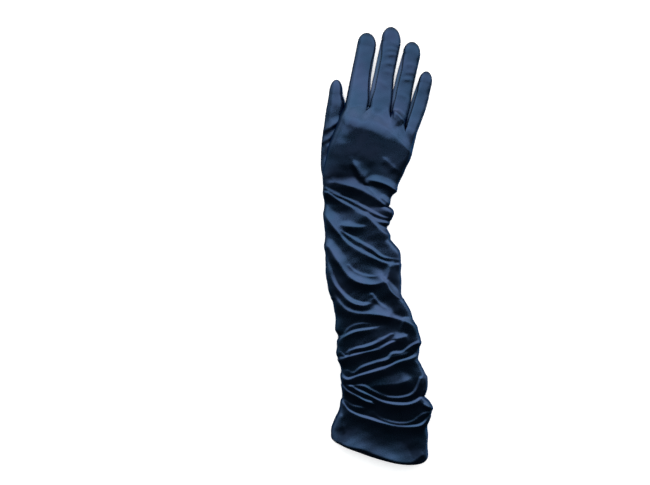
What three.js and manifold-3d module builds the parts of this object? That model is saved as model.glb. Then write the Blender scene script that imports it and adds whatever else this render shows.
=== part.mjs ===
// A long satin evening glove for the right hand, with ruched sleeve, lying palm down.
// Millimetres. +X is the little finger's side, +Y points to the fingertips, +Z is up.
// The origin is on the surface that the glove lies on, under the middle of its outline.

import * as THREE from "three";
import { mergeVertices } from "three/addons/utils/BufferGeometryUtils.js";
import Module from "manifold-3d";

// Driving dimensions
const WALL = 1.2; // satin with the turned allowances of its seams
const HEM_WALL = 2; // satin turned in on itself at the cuff
const HEM_WIDTH = 6; // how far the hem is turned in
const HEM_GAP = 0.6; // along the arm, so that 0.3 is left where the hem's row runs steeply
const SEAM_GAP = 0.3; // clear space between two sewn pieces
const ROW_STEP = 5.6; // distance between two rows of the sleeve's surface
const CROWN = 2.3; // roundness of the upper half of a cross-section, 2 is an ellipse
const SOLE = 3.4; // roundness of the lower half, which lies nearly flat
const SOLE_PRESS = 1.12; // how much of the lower half is pressed flat on the surface
const SEAM_LEVEL = 0.44; // height of the side seams, as a share of the full height
const QUIRK = 1.5; // half the height of a fourchette where two fingers part
const FINGER_BASE_HEIGHT = 13.5; // fullness of the glove where the fingers part
const PALM_DENT = 2; // depth of the shallow hollows under the sleeve
const PALM_REST = 0.3; // how much of the underside lies flat between them
const PALM_WAVES = { alongX: 9, alongY: 11, skewX: 17, skewY: 15 }; // spacing of the hollows
const PALM_HOLLOW_END = [20, 50]; // between these Y they fade out towards the hand
const PALM_HOLLOW_SIDE = [0.6, 0.9]; // and between these shares of half the width
const LIFT_SPAN = [0.15, 0.7]; // shares of the width between which the lift changes over

// A table with named columns.
const table = (columns, rows) =>
  rows.map((row) => Object.fromEntries(columns.map((name, k) => [name, row[k]])));

// Cross-sections of sleeve and hand, from the cuff's edge to the knuckles. Each runs from
// the thumb side (left) to the little finger's side (right) and bows towards the cuff.
const SECTIONS = table(
  ["leftX", "leftY", "rightX", "rightY", "bow", "height", "lift"],
  [
    [-45.5, -194, 53, -213, 16.8, 19, 0],
    [-44, -180, 53, -199, 13, 22, 0],
    [-37, -165, 53, -180, 9, 25, 0],
    [-35, -152, 51, -159, 4, 25, 0],
    [-35.5, -136, 48.5, -139, 0, 26, 0],
    [-37, -119, 43, -117, 0, 26, 0],
    [-38.5, -102, 43, -98, 0, 26, 0],
    [-41, -82, 37, -80, 0, 25, 0],
    [-43.5, -59, 27.5, -59, 0, 24, 0],
    [-47.5, -36, 25.5, -36, 0, 23, 0],
    [-50, -14, 21, -14, 0, 22, 0],
    [-52, 7, 13, 7, 0, 20, 0],
    [-53.3, 26, 9.5, 26, 0, 19, 0],
    [-53.8, 43, 10, 42, 0, 18, 0],
    [-55, 61, 17.5, 58, 0, 18, 2],
    [-54.5, 76, 24.5, 73, 0, 18.5, 5],
    [-49.8, 97, 31.8, 88, 0, 19.5, 8.5],
    [-41.5, 118, 38, 104, 0, 19, 9],
  ],
);

// The line where hand becomes fingers: outer edge, three crotches, outer edge.
const CROTCHES = table(
  ["x", "y", "lift"],
  [
    [-32.4, 146, 7.5],
    [-8, 143, 5.5],
    [15, 138, 2],
    [30, 123, 0.5],
    [42.5, 118, 0],
  ],
);

// Fingers: middle and shoulder of each, their widths, the tip, and the angles above the
// horizontal of the back's and the palm's seam on each side, which roll as the photo shows.
const FINGERS = table(
  [
    "name", "midX", "midY", "midWidth", "topX", "topY", "topWidth", "tipX", "tipY", "height",
    "backLeft", "palmLeft", "backRight", "palmRight", "backColumns",
  ],
  [
    ["index", -16.4, 173.6, 20.2, -10.8, 206, 18.4, -9.4, 219.2, 12, 0, 0, 32, -30, 6],
    ["middle", 7.6, 173.6, 21.2, 14.6, 210, 19.8, 16.3, 225.2, 12.4, 52, -22, 16, -42, 4],
    ["ring", 27.9, 163, 19.8, 35.8, 197, 17.6, 38, 210, 12, 52, -22, 14, -42, 4],
    ["little", 43.7, 146, 16.8, 50, 168, 14.4, 52.6, 179.6, 10.6, 48, -22, 0, 0, 4],
  ],
);
const PALM_COLUMNS = 3; // under each finger
const SIDE_COLUMNS = 2; // across a fourchette
const SEAM_REST = 0.18; // how far the seams stay apart at both ends of a fourchette
const CROTCH_LEAN = 0.2; // the fingers lean to +X by this share of their length
const CROTCH_TURN = 1.3; // how far the cloth turns over at a crotch, up or down
const FINGER_ROWS = 8; // from the crotch to the finger's shoulder
const CAP_ANGLES = [32, 58, 78]; // rows round a fingertip, in degrees
const CAP_POWER = 0.9; // roundness of a fingertip, 1 is an ellipse
const TIP_HEIGHT = 0.34; // how flat a fingertip ends, as a share of the finger's height
const TOP_HEIGHT = 0.94; // height at a finger's shoulder, as a share of its middle
const MID_LIFT = 0.4; // how much of the lift at the crotch is left half-way up a finger
const BOW_POWER = 0.55; // 0.5 bows a row as half an ellipse, 1 as a parabola
const BOW_SKEW = 0.35; // how much deeper it bows on the little finger's side
const HAND_ROWS = 5; // from the knuckles to the crotches
const CROTCH_COLUMN_DEGREES = [180, 114, 80, 46, 0]; // where the crotches lie across the back
const PALM_COLUMN_DEGREES = [-180, -114, -80, -46, 0];

// Thumb, from inside the hand to the tip: centre, width, height, and lift off the surface.
const THUMB = table(
  ["x", "y", "width", "height", "lift"],
  [
    [-43, 56, 14, 8.5, 4],
    [-44, 66, 20, 9.6, 2.4],
    [-44.6, 80, 25, 9.6, 0.6],
    [-44.6, 95, 25, 8.6, 0],
    [-44.2, 110, 23.6, 8.5, 0],
    [-43, 124, 22, 8.7, 0],
    [-41.8, 137, 21, 9.4, 0],
    [-41.2, 147, 18.6, 9.8, 0],
    [-41.8, 156, 14.4, 9.4, 0],
  ],
);
const THUMB_TIP = [-41.1, 171.3, 4.2];
const THUMB_SIDES = 14;
const THUMB_ROWS = 13;
const THUMB_OVERLAP_ROWS = 21; // rows of the hand, back from the crotches, that clear the thumb

// Folds of the back: a ridge from one point via another to a third, how far it rises, and
// its reach above (towards the fingers) and below (towards the cuff), where it droops.
const FOLDS = table(
  ["fromX", "fromY", "viaX", "viaY", "toX", "toY", "rise", "above", "below"],
  [
    [-30, 131, 3, 127, 30, 97, 3.4, 16, 24],
    [-22, 88, -16, 78, -10, 67, 2, 8, 6],
    [-40, 68, -15, 59, 12, 39, 4.4, 8, 5],
    [-6, 71, 8, 71, 20, 60, 2.4, 7, 5],
    [-43, 52, -19, 39, 14, 26, 4.8, 8, 5],
    [-47, 40, -36, 26, -9, 18, 3.2, 9, 6],
    [0, 23, 7, 15, 11, 8, 2.8, 6, 5],
    [-46, 24, -27, 2, 19, -18, 5.4, 8, 5],
    [-43, 0, -21, -34, 11, -24, 5.6, 10, 6],
    [-41, -28, -21, -61, 0, -49, 5.2, 8, 6],
    [12, -40, 20, -48, 24, -56, 3.6, 7, 5],
    [-37, -54, -15, -69, 35, -81, 6.2, 10, 6],
    [-35, -98, -20, -86, 7, -81, 4, 6, 5],
    [-34, -114, -7, -106, 30, -91, 5.2, 7, 5],
    [-31, -133, 2, -126, 39, -104, 6, 9, 6],
    [9, -136, 24, -139, 38, -138, 2.4, 9, 8],
    [-24, -144, 9, -160, 43, -141, 6, 9, 5],
    [-30, -145, -22, -153, -6, -160, 4, 6, 5],
    [-31, -158, 4, -181, 47, -169, 7.8, 11, 6],
    [-38, -188, -20, -201, 19, -214, 1.6, 12, 12],
  ],
);
const FOLD_SAMPLES = 20;
const FOLD_DROOP = 0.3; // how far a ridge leans to the cuff, as a share of its rise
const FOLD_BLEND = 2.4; // how sharply neighbouring folds merge
const SIDE_FADE = 0.72; // the folds fade out under the glove by this share of half its width
const SEAM_FADE = 0.93; // beyond this share the underside rises to the side seam

const DEG = Math.PI / 180;
const clamp01 = (x) => Math.min(1, Math.max(0, x));
const mix = (a, b, k) => a + (b - a) * k;
const lastOf = (rows) => rows[rows.length - 1];

// Goes smoothly from 0 at one value to 1 at another.
function ease(from, to, x) {
  const k = clamp01((x - from) / (to - from));
  return k * k * (3 - 2 * k);
}

// Evenly spaced values from first to last.
const steps = (first, last, count) =>
  Array.from({ length: count + 1 }, (_, k) => mix(first, last, k / count));

// Every column of a table, interpolated smoothly at a distance along its rows.
function tableAt(rows, distances, at) {
  let k = 0;
  while (k < rows.length - 2 && distances[k + 1] < at) {
    k += 1;
  }
  const span = distances[k + 1] - distances[k];
  const x = clamp01((at - distances[k]) / span);
  const slope = (name, j) => {
    const before = Math.max(0, j - 1);
    const after = Math.min(rows.length - 1, j + 1);
    return (rows[after][name] - rows[before][name]) / (distances[after] - distances[before]);
  };
  const result = {};
  for (const name of Object.keys(rows[0])) {
    const start = rows[k][name];
    const rise = rows[k + 1][name] - start;
    const leave = slope(name, k) * span;
    const arrive = slope(name, k + 1) * span;
    result[name] = start + x * (leave + x * (3 * rise - 2 * leave - arrive)
      + x * x * (leave + arrive - 2 * rise));
  }
  return result;
}

// One point of a cross-section. 180 degrees is the left edge, 90 the top, 0 the right edge,
// and negative angles lie underneath.
function sectionPoint(section, degrees) {
  const side = Math.cos(degrees * DEG);
  const level = Math.abs(Math.sin(degrees * DEG));
  const power = degrees > 0 && degrees < 180 ? 2 / CROWN : 2 / SOLE;
  const across = Math.sign(side) * Math.abs(side) ** power;
  const share = (across + 1) / 2;
  const lift = mix(section.liftLeft, section.liftRight, ease(...LIFT_SPAN, share));
  const floor = Math.max(0, lift);
  const seam = section.height * SEAM_LEVEL;
  const above = (section.height - seam) * level ** power;
  const below = Math.min(seam, seam * SOLE_PRESS * level ** power);
  const z = floor + seam + (power === 2 / CROWN ? above : -below);
  const arch = Math.max(0, 1 - across * across) ** BOW_POWER;
  const bow = section.bow * arch * (1 + BOW_SKEW * across);
  return new THREE.Vector3(
    mix(section.leftX, section.rightX, share),
    mix(section.leftY, section.rightY, share) - bow,
    z,
  );
}

// The angles of the columns between the crotches, from the thumb side to the other.
function columnAngles(crotchDegrees, columns) {
  const angles = [crotchDegrees[0]];
  columns.forEach((count, k) => {
    angles.push(...steps(crotchDegrees[k], crotchDegrees[k + 1], count).slice(1));
  });
  return angles;
}

const BACK_COLUMNS = FINGERS.map((finger) => finger.backColumns);
const BACK_ANGLES = columnAngles(CROTCH_COLUMN_DEGREES, BACK_COLUMNS);
const PALM_ANGLES = columnAngles(PALM_COLUMN_DEGREES, FINGERS.map(() => PALM_COLUMNS));

// Points along the ridge of a fold, on a curve through its three points.
function ridge(fold) {
  const from = new THREE.Vector2(fold.fromX, fold.fromY);
  const to = new THREE.Vector2(fold.toX, fold.toY);
  const via = new THREE.Vector2(fold.viaX, fold.viaY);
  const pull = via.multiplyScalar(2).sub(from.clone().add(to).multiplyScalar(0.5));
  return new THREE.QuadraticBezierCurve(from, pull, to).getPoints(FOLD_SAMPLES);
}
const RIDGES = FOLDS.map((fold) => ({ ...fold, points: ridge(fold) }));

// How far the folds lift the cloth at a place: each ridge falls off as a bell on both
// sides, steeper towards the cuff, and neighbours merge.
function foldRise(x, y) {
  let sum = 0;
  for (const fold of RIDGES) {
    let nearest = Infinity;
    let nearY = 0;
    for (const point of fold.points) {
      const distance = Math.hypot(x - point.x, y - point.y);
      if (distance < nearest) {
        nearest = distance;
        nearY = y - point.y;
      }
    }
    const lean = ease(-0.5, 0.5, nearY / (nearest + 0.01));
    const reach = mix(fold.below, fold.above, lean);
    sum += (fold.rise * Math.exp(-((nearest / reach) ** 2))) ** FOLD_BLEND;
  }
  return sum ** (1 / FOLD_BLEND);
}

// Normals of a grid, with rows towards the fingers and columns clockwise round the glove.
function gridNormal(grid, row, column) {
  const up = grid[Math.min(row + 1, grid.length - 1)][column];
  const down = grid[Math.max(row - 1, 0)][column];
  const right = grid[row][Math.min(column + 1, grid[row].length - 1)];
  const left = grid[row][Math.max(column - 1, 0)];
  return right.clone().sub(left).cross(up.clone().sub(down)).normalize();
}

// The sleeve and hand as sections, a row every ROW_STEP from the cuff to the knuckles.
const sectionDistances = [0];
for (let k = 1; k < SECTIONS.length; k += 1) {
  const middle = (section) => (section.leftY + section.rightY) / 2;
  sectionDistances.push(sectionDistances[k - 1] + middle(SECTIONS[k]) - middle(SECTIONS[k - 1]));
}
const SLEEVE_LENGTH = sectionDistances[sectionDistances.length - 1];
function sleeveSection(at) {
  const section = tableAt(SECTIONS, sectionDistances, at);
  return { ...section, liftLeft: section.lift, liftRight: 0 };
}

// Shallow hollows under the sleeve, between the places where it touches the surface.
function palmHollow(x, y, across) {
  const { alongX, alongY, skewX, skewY } = PALM_WAVES;
  const wave = Math.sin(x / alongX + y / skewY) * Math.sin(y / alongY - x / skewX);
  const kept = (1 - ease(...PALM_HOLLOW_END, y)) * (1 - ease(...PALM_HOLLOW_SIDE, across));
  return PALM_DENT * Math.max(0, wave - PALM_REST) * kept;
}

// A row of the back: the plain section, then the folds pushed out along the surface.
function foldedGrids(stations) {
  const sections = stations.map(sleeveSection);
  const plainBack = sections.map((s) => BACK_ANGLES.map((a) => sectionPoint(s, a)));
  const plainPalm = sections.map((s) => PALM_ANGLES.map((a) => sectionPoint(s, a)).reverse());
  const back = plainBack.map((row, k) => row.map((point, j) => {
    const rise = foldRise(point.x, point.y);
    const folded = point.clone().addScaledVector(gridNormal(plainBack, k, j), rise);
    folded.y -= rise * FOLD_DROOP;
    return folded;
  }));
  const palm = plainPalm.map((row, k) => row.map((point) => {
    const left = plainBack[k][0];
    const right = lastOf(plainBack[k]);
    const across = (2 * point.x - left.x - right.x) / (right.x - left.x);
    const near = across < 0 ? 0 : plainBack[k].length - 1;
    const shift = back[k][near].clone().sub(plainBack[k][near]);
    const sideways = ease(1 - SIDE_FADE, 1, Math.abs(across));
    const upward = ease(SEAM_FADE, 1, Math.abs(across));
    const hollow = palmHollow(point.x, point.y, Math.abs(across));
    return new THREE.Vector3(
      point.x + shift.x * sideways,
      point.y + shift.y * sideways,
      point.z + shift.z * upward + hollow,
    );
  }));
  return { back, palm };
}

// A section square to a finger's axis, with its centre, width, height and lift.
function squareSection(x, y, axis, width, height, lift) {
  return {
    leftX: x - axis.y * width / 2,
    leftY: y + axis.x * width / 2,
    rightX: x + axis.y * width / 2,
    rightY: y - axis.x * width / 2,
    bow: 0,
    height,
    liftLeft: lift,
    liftRight: lift,
  };
}

// The rounded end of a finger: sections that narrow from its shoulder to the tip.
function capSections(top, tip, axis) {
  return CAP_ANGLES.map((degrees) => {
    const forward = Math.sin(degrees * DEG);
    const narrow = Math.cos(degrees * DEG) ** CAP_POWER;
    const height = top.height * mix(TIP_HEIGHT, 1, narrow);
    const lift = (top.height - height) * SEAM_LEVEL;
    const x = mix(top.x, tip.x, forward);
    return squareSection(x, mix(top.y, tip.y, forward), axis, top.width * narrow, height, lift);
  });
}

// The cross-sections of a finger, from the crotch line to its rounded tip.
function fingerSections(finger, k) {
  const left = CROTCHES[k];
  const right = CROTCHES[k + 1];
  const axis = new THREE.Vector2(finger.topX - finger.midX, finger.topY - finger.midY).normalize();
  const topHeight = finger.height * TOP_HEIGHT;
  const knots = [
    {
      leftX: left.x,
      leftY: left.y,
      rightX: right.x,
      rightY: right.y,
      bow: 0,
      height: FINGER_BASE_HEIGHT,
      liftLeft: left.lift,
      liftRight: right.lift,
    },
    {
      ...squareSection(finger.midX, finger.midY, axis, finger.midWidth, finger.height, 0),
      liftLeft: left.lift * MID_LIFT,
      liftRight: right.lift * MID_LIFT,
    },
    squareSection(finger.topX, finger.topY, axis, finger.topWidth, topHeight, 0),
  ];
  const centreY = (s) => (s.leftY + s.rightY) / 2;
  const distances = knots.map((s) => centreY(s) - centreY(knots[0]));
  const shaft = steps(0, distances[2], FINGER_ROWS).map((at) => tableAt(knots, distances, at));
  const top = { x: finger.topX, y: finger.topY, width: finger.topWidth, height: topHeight };
  const cap = capSections(top, { x: finger.tipX, y: finger.tipY }, axis);
  return { shaft, cap, tipZ: topHeight * SEAM_LEVEL };
}

// The point where two fingers part, on the back (+1), half-way (0) or on the palm (-1).
function crotchPoint(crotch, side) {
  const level = crotch.lift + FINGER_BASE_HEIGHT * SEAM_LEVEL + side * QUIRK;
  return new THREE.Vector3(crotch.x, crotch.y, level);
}

// The strips round a finger, each a grid with a row for each section. The seams run at
// their own angles along the shaft, close in on the crotch and meet before the tip.
function fingerStrips(finger, k) {
  const { shaft, cap, tipZ } = fingerSections(finger, k);
  const tip = new THREE.Vector3(finger.tipX, finger.tipY, tipZ);
  const opened = (v) => mix(SEAM_REST, 1, ease(0, 0.3, v) * (1 - ease(0.72, 1, v)));
  const grid = (from, to, columns) => shaft.map((section, row) => {
    const open = opened(row / FINGER_ROWS);
    return steps(from(open), to(open), columns).map((a) => sectionPoint(section, a));
  });
  const closed = (rows, from, to, columns) => [
    ...rows,
    ...cap.map((section) => steps(from, to, columns).map((a) => sectionPoint(section, a))),
    rows[0].map(() => tip.clone()),
  ];
  const backLeft = (open) => 180 - finger.backLeft * open;
  const backRight = (open) => finger.backRight * open;
  const palmRight = (open) => finger.palmRight * open;
  const palmLeft = (open) => -180 - finger.palmLeft * open;
  const back = closed(grid(backLeft, backRight, finger.backColumns), 180, 0, finger.backColumns);
  const palm = closed(grid(palmRight, palmLeft, PALM_COLUMNS), 0, -180, PALM_COLUMNS);
  const rightSide = grid(backRight, palmRight, SIDE_COLUMNS);
  const leftSide = grid((open) => 360 + palmLeft(open), backLeft, SIDE_COLUMNS);
  if (k > 0) {
    back[0][0] = crotchPoint(CROTCHES[k], 1);
    palm[0][PALM_COLUMNS] = crotchPoint(CROTCHES[k], -1);
    leftSide[0] = steps(-1, 1, SIDE_COLUMNS).map((side) => crotchPoint(CROTCHES[k], side));
  }
  if (k < FINGERS.length - 1) {
    back[0][finger.backColumns] = crotchPoint(CROTCHES[k + 1], 1);
    palm[0][0] = crotchPoint(CROTCHES[k + 1], -1);
    rightSide[0] = steps(1, -1, SIDE_COLUMNS).map((side) => crotchPoint(CROTCHES[k + 1], side));
  }
  return { back, palm, leftSide, rightSide };
}

// Rows that carry the knuckles over into the fingers, dipping late between them.
function knuckleRows(from, to) {
  return steps(0, 1, HAND_ROWS).slice(1).map((k) => from.map((point, j) => new THREE.Vector3(
    mix(point.x, to[j].x, k),
    mix(point.y, to[j].y, k),
    mix(point.z, to[j].z, k * k),
  )));
}

// Joins finger rows side by side, where the neighbours share their crotch points.
const joinRows = (rows) => rows.flatMap((row, k) => (k === 0 ? row : row.slice(1)));

const hemStations = steps(0, HEM_WIDTH, 2);
const panelStations = steps(
  HEM_WIDTH + HEM_GAP, SLEEVE_LENGTH, Math.round((SLEEVE_LENGTH - HEM_WIDTH) / ROW_STEP),
);
const hemGrids = foldedGrids(hemStations);
const sleeveGrids = foldedGrids(panelStations);
const fingers = FINGERS.map(fingerStrips);
const knuckleBack = joinRows(fingers.map((finger) => finger.back[0]));
const knucklePalm = joinRows([...fingers].reverse().map((finger) => finger.palm[0]));
const backGrid = [...sleeveGrids.back, ...knuckleRows(lastOf(sleeveGrids.back), knuckleBack)];
const palmGrid = [...sleeveGrids.palm, ...knuckleRows(lastOf(sleeveGrids.palm), knucklePalm)];

// A point's name, the same for all points that coincide.
const keyOf = (p) => `${p.x.toFixed(3)},${p.y.toFixed(3)},${p.z.toFixed(3)}`;

// Visits the triangles of a grid, outward side first, leaving out the flat ones at a tip.
function eachTriangle(grid, visit) {
  for (let r = 0; r + 1 < grid.length; r += 1) {
    for (let c = 0; c + 1 < grid[r].length; c += 1) {
      const [a, b] = [grid[r][c], grid[r][c + 1]];
      const [d, e] = [grid[r + 1][c], grid[r + 1][c + 1]];
      for (const corners of [[a, b, e], [a, e, d]]) {
        if (new Set(corners.map(keyOf)).size === 3) {
          visit(corners);
        }
      }
    }
  }
}

// Normals at every point of the whole glove, shared by the pieces that meet there.
function sharedNormals(grids) {
  const normals = new Map();
  for (const grid of grids) {
    eachTriangle(grid, ([a, b, c]) => {
      const face = b.clone().sub(a).cross(c.clone().sub(a));
      for (const corner of [a, b, c]) {
        const key = keyOf(corner);
        normals.set(key, (normals.get(key) ?? new THREE.Vector3()).add(face));
      }
    });
  }
  normals.forEach((normal) => normal.normalize());
  return normals;
}

// Moves the two ends of each row straight away from the seam, by half the gap.
function drawInEnds(grid, firstRow) {
  const drawn = new Map();
  grid.forEach((row, r) => {
    const above = grid[Math.min(r + 1, grid.length - 1)];
    const below = grid[Math.max(r - 1, 0)];
    for (const [at, inward] of [[0, 1], [row.length - 1, -1]]) {
      const end = row[at];
      const seam = above[at].clone().sub(below[at]).normalize();
      const step = row[at + inward].clone().sub(end);
      step.addScaledVector(seam, -step.dot(seam));
      if (r >= firstRow && step.length() > SEAM_GAP) {
        drawn.set(keyOf(end), end.clone().addScaledVector(step.normalize(), SEAM_GAP / 2));
      }
    }
  });
  return drawn;
}

// Gives a sewn piece its wall: the outer skin, the same skin one wall further in, and a
// narrow face all along each free edge, split alike on both sides of a seam.
function wallSolid(grids, wall, normals, moved) {
  const positions = [];
  const indices = [];
  const outerIndex = new Map();
  const names = [];
  const place = (point) => {
    const key = keyOf(point);
    if (!outerIndex.has(key)) {
      const outer = moved.get(key) ?? point;
      const inner = outer.clone().addScaledVector(normals.get(key), -wall);
      outerIndex.set(key, positions.length / 3);
      names.push(key);
      positions.push(outer.x, outer.y, outer.z, inner.x, inner.y, inner.z);
    }
    return outerIndex.get(key);
  };
  const edges = new Map();
  for (const grid of grids) {
    eachTriangle(grid, (corners) => {
      const [a, b, c] = corners.map(place);
      indices.push(a, b, c, c + 1, b + 1, a + 1);
      for (const [from, to] of [[a, b], [b, c], [c, a]]) {
        if (!edges.delete(`${to},${from}`)) {
          edges.set(`${from},${to}`, [from, to]);
        }
      }
    });
  }
  for (const [from, to] of edges.values()) {
    if (names[from / 2] < names[to / 2]) {
      indices.push(to, from, to + 1, from, from + 1, to + 1);
    } else {
      indices.push(to, from, from + 1, to, from + 1, to + 1);
    }
  }
  const geometry = new THREE.BufferGeometry();
  geometry.setAttribute("position", new THREE.Float32BufferAttribute(positions, 3));
  geometry.setIndex(indices);
  return geometry;
}

// A closed body round stacked rings, with a fan over each end, grown outwards by a margin.
function ringBody(rings, margin, tip) {
  const positions = [];
  const indices = [];
  const count = rings[0].length;
  const add = (p) => positions.push(p.x, p.y, p.z) / 3 - 1;
  rings.forEach((ring, r) => ring.forEach((point, j) => {
    const ahead = rings[Math.min(r + 1, rings.length - 1)][j];
    const behind = rings[Math.max(r - 1, 0)][j];
    const next = ring[(j + 1) % count];
    const before = ring[(j + count - 1) % count];
    const normal = next.clone().sub(before).cross(ahead.clone().sub(behind)).normalize();
    add(point.clone().addScaledVector(normal, margin));
  }));
  for (let r = 0; r + 1 < rings.length; r += 1) {
    for (let j = 0; j < count; j += 1) {
      const a = r * count + j;
      const b = r * count + ((j + 1) % count);
      indices.push(a, b, b + count, a, b + count, a + count);
    }
  }
  const centre = (ring) => ring.reduce((sum, p) => sum.add(p), new THREE.Vector3())
    .divideScalar(count);
  const start = add(centre(rings[0]));
  const end = add(tip ?? centre(lastOf(rings)));
  const top = (rings.length - 1) * count;
  for (let j = 0; j < count; j += 1) {
    const next = (j + 1) % count;
    indices.push(start, next, j, end, top + j, top + next);
  }
  const geometry = new THREE.BufferGeometry();
  geometry.setAttribute("position", new THREE.Float32BufferAttribute(positions, 3));
  geometry.setIndex(indices);
  return geometry;
}

// The thumb's rings, clockwise seen from the wrist, as those of the hand.
const thumbDistances = THUMB.map((row) => row.y - THUMB[0].y);
const thumbAxis = new THREE.Vector2(0, 1);
const thumbTip = new THREE.Vector3(...THUMB_TIP);
const thumbShaft = steps(0, lastOf(thumbDistances), THUMB_ROWS).map((at) => {
  const row = tableAt(THUMB, thumbDistances, at);
  return squareSection(row.x, row.y, thumbAxis, row.width, row.height, row.lift);
});
const thumbRings = [...thumbShaft, ...capSections(lastOf(THUMB), thumbTip, thumbAxis)].map(
  (section) => steps(180, -180, THUMB_SIDES).slice(0, -1).map((a) => sectionPoint(section, a)),
);

// Booleans on closed meshes
const wasm = await Module();
wasm.setup();

function toSolid(geometry) {
  const merged = mergeVertices(geometry, 1e-4);
  return new wasm.Manifold(new wasm.Mesh({
    numProp: 3,
    vertProperties: new Float32Array(merged.attributes.position.array),
    triVerts: new Uint32Array(merged.index.array),
  }));
}

function toGeometry(solid) {
  const mesh = solid.getMesh();
  const geometry = new THREE.BufferGeometry();
  geometry.setAttribute("position", new THREE.BufferAttribute(mesh.vertProperties, 3));
  geometry.setIndex(new THREE.BufferAttribute(mesh.triVerts, 1));
  return geometry;
}

// The largest connected body of a solid, without the crumbs that a cut can leave.
function mainBody(solid) {
  return solid.decompose().sort((a, b) => b.volume() - a.volume())[0];
}

const leaves = [];
fingers.forEach((finger, k) => {
  if (k + 1 < fingers.length) {
    leaves.push([finger.rightSide, fingers[k + 1].leftSide]);
  }
});
const backGrids = [backGrid, ...fingers.map((finger) => finger.back)];
const palmGrids = [palmGrid, ...fingers.map((finger) => finger.palm)];
const hemRing = hemGrids.back.map((row, k) => [...row, ...hemGrids.palm[k].slice(1)]);
const skin = sharedNormals([...backGrids, ...palmGrids, ...leaves.flat(), hemRing]);
const innerCrotches = CROTCHES.slice(1, -1);
for (const crotch of innerCrotches) {
  for (const side of [-1, 0, 1]) {
    const outward = new THREE.Vector3(CROTCH_LEAN, 1, CROTCH_TURN * side).normalize();
    skin.set(keyOf(crotchPoint(crotch, side)), outward);
  }
}

// Where a panel stops short of its neighbours: at its seams, at the crotches and at the
// fingertips. The back keeps above those points, side 1, and the palm below them, side -1.
function panelMoves(grids, side) {
  const moved = new Map();
  grids.forEach((grid, k) => {
    drawInEnds(grid, Math.min(k, 1)).forEach((point, key) => moved.set(key, point));
  });
  const crotches = innerCrotches.map((crotch) => crotchPoint(crotch, side));
  const tips = fingers.map((finger) => lastOf(finger.back)[0]);
  for (const point of [...crotches, ...tips]) {
    moved.set(keyOf(point), point.clone().setZ(point.z + side * SEAM_GAP / 2));
  }
  return moved;
}

const thumbOuter = toSolid(ringBody(thumbRings, 0, thumbTip));
const thumbInnerTip = thumbTip.clone().add(new THREE.Vector3(0, -WALL, 0));
const thumbInner = toSolid(ringBody(thumbRings.slice(0, -1), -WALL, thumbInnerTip));
const thumbSpace = toSolid(ringBody(thumbRings, SEAM_GAP, thumbTip));
const handRings = backGrid.map((row, k) => [...row, ...palmGrid[k].slice(1, -1)]);
const handSpace = toSolid(ringBody(handRings.slice(-THUMB_OVERLAP_ROWS), SEAM_GAP));

const backPanel = toSolid(wallSolid(backGrids, WALL, skin, panelMoves(backGrids, 1)));
const palmPanel = toSolid(wallSolid(palmGrids, WALL, skin, panelMoves(palmGrids, -1)));
const thumbShell = thumbOuter.subtract(thumbInner).subtract(handSpace);

const SATIN = { color: 0x26395c, roughness: 0.35, metalness: 0.35, side: THREE.DoubleSide };
const SATIN_SHADE = { ...SATIN, color: 0x1f3050 };

// One named piece of the glove.
function piece(name, geometry, finish) {
  const shaded = geometry.index ? geometry.toNonIndexed() : geometry;
  shaded.computeVertexNormals();
  const mesh = new THREE.Mesh(shaded, new THREE.MeshStandardMaterial(finish));
  mesh.name = name;
  return mesh;
}

const group = new THREE.Group();
group.add(piece("back_panel", toGeometry(mainBody(backPanel.subtract(thumbSpace))), SATIN));
group.add(piece("palm_panel", toGeometry(mainBody(palmPanel.subtract(thumbSpace))), SATIN));
group.add(piece("thumb", toGeometry(mainBody(thumbShell)), SATIN));
leaves.forEach((pair, k) => {
  const name = `fourchette_${FINGERS[k].name}_${FINGERS[k + 1].name}`;
  const moved = new Map();
  pair.forEach((grid) => drawInEnds(grid, 0).forEach((p, key) => moved.set(key, p)));
  group.add(piece(name, wallSolid(pair, WALL, skin, moved), SATIN_SHADE));
});
group.add(piece("cuff_hem", wallSolid([hemRing], HEM_WALL, skin, new Map()), SATIN_SHADE));

export default group;
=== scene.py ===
"""The looks of a long satin evening glove for the right hand, laid flat, palm down.

Lengths in the tables are millimetres; meshes are made in metres. +X is the little finger's
side, +Y points to the fingertips and +Z is up out of the back of the hand.
"""

import math

import bpy
import numpy as np
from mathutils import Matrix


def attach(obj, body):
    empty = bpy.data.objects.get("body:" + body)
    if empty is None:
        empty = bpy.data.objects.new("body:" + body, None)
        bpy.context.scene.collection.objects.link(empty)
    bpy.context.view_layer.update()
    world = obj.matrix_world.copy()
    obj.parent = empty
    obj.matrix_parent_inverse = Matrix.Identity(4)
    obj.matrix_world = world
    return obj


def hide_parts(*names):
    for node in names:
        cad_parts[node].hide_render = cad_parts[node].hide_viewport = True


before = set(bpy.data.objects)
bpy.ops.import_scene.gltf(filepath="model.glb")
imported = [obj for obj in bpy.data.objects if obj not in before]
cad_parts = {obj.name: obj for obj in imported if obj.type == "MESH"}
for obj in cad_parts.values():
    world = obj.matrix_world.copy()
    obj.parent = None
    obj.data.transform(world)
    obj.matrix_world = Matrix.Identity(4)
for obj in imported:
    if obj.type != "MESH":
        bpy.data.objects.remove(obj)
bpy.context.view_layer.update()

MM = 0.001

# Cloth
WALL = 1.2
HEM_WALL = 2.0
HEM_WIDTH = 6.0
SEAM_GROOVE = 0.55  # how deep a seam sinks into the satin
SEAM_REACH = 1.3  # and how far to its sides
SIDE_GROOVE = 0.3  # the same for the strips between the fingers
SIDE_REACH = 0.8
# Shade painted into the satin's colour beside the fingers' seams, at the crotches and round the
# fingertips
SHADE = 0.8  # how dark the shade painted into the satin gets beside the fingers' seams
SHADE_REACH = 1.3  # how far from a seam
TIP_SHADE_REACH = 7.0  # and how far from a fingertip
SHADE_SPAN = (112, 140)  # the y over which that shade sets in

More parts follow.
